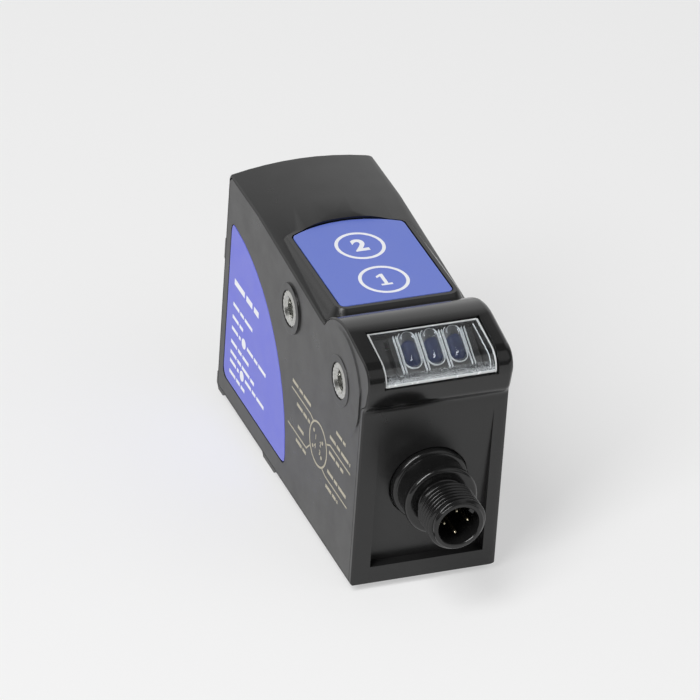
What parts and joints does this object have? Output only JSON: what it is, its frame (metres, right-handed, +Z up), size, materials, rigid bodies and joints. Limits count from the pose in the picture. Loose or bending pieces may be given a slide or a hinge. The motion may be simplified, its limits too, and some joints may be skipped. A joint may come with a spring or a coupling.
{
  "type": "color mark sensor",
  "caption": "Compact industrial color mark sensor: moulded housing with a side cover, a keypad, an indicator window in the nose, a round threaded plug and a lens port.",
  "frame": {"origin": "under the middle of the sensor, on the plane that its feet stand on", "axes": "+X to the right side, away from the side cover; +Y from the plug to the lens port; +Z up"},
  "size_m": [0.0318, 0.0964, 0.055],
  "materials": {
    "housing_plastic": "satin moulded ABS",
    "seal_rubber": "matt",
    "side_print": "printed polyester film",
    "keypad_print": "printed polyester film, fine texture",
    "nickel_plate": "nickel plated, bright",
    "key_plastic": "moulded, satin",
    "switch_plastic": "moulded, matt",
    "circuit_board": "solder mask",
    "zinc_steel": "zinc plated",
    "clear_plastic": "clear polycarbonate, polished",
    "holder_plastic": "moulded, matt",
    "led_resin": "clear resin",
    "plug_plastic": "moulded polyamide, smooth",
    "gold_plate": "gold plated",
    "black_anodised": "black anodised, turned",
    "lens_glass": "polished, coated",
    "diode_can": "plated can",
    "chip_epoxy": "moulded epoxy"
  },
  "bodies": {
    "root": {"housing": "housing_plastic", "side_cover": "housing_plastic", "cover_gasket": "seal_rubber", "plug_seal": "seal_rubber", "lens_seal": "seal_rubber", "cap_seal": "seal_rubber", "side_label": "side_print", "keypad_label": "keypad_print", "threaded_insert_1": "nickel_plate", "threaded_insert_2": "nickel_plate", "threaded_insert_3": "nickel_plate", "threaded_insert_4": "nickel_plate", "plug_nut": "nickel_plate", "key_switch_1": "switch_plastic", "key_switch_2": "switch_plastic", "keypad_board": "circuit_board", "indicator_board": "circuit_board", "plug_board": "circuit_board", "main_board": "circuit_board", "keypad_screw_1": "zinc_steel", "keypad_screw_2": "zinc_steel", "board_screw_1": "zinc_steel", "board_screw_2": "zinc_steel", "indicator_window": "clear_plastic", "light_guide": "clear_plastic", "light_guide_holder": "holder_plastic", "contact_carrier": "holder_plastic", "optics_block": "holder_plastic", "status_led_1": "led_resin", "status_led_2": "led_resin", "status_led_3": "led_resin", "plug_shell": "plug_plastic", "blanking_cap": "plug_plastic", "contact_pin_1": "gold_plate", "contact_pin_2": "gold_plate", "contact_pin_3": "gold_plate", "contact_pin_4": "gold_plate", "lens_barrel": "black_anodised", "lens_retainer": "black_anodised", "objective_lens": "lens_glass", "beam_splitter": "lens_glass", "light_source": "diode_can", "receiver": "diode_can", "processor": "chip_epoxy"},
    "key_1": {"key_pusher_1": "key_plastic", "switch_plunger_1": "key_plastic"},
    "key_2": {"key_pusher_2": "key_plastic", "switch_plunger_2": "key_plastic"}
  },
  "joints": [
    {"name": "key_1_press", "type": "slide", "parent": "root", "child": "key_1", "axis": [0, 0, -1], "range_m": [0, 0.00025], "stiffness_N_per_m": 20, "springref_m": -0.001},
    {"name": "key_2_press", "type": "slide", "parent": "root", "child": "key_2", "axis": [0, 0, -1], "range_m": [0, 0.00025], "stiffness_N_per_m": 20, "springref_m": -0.001}
  ]
}
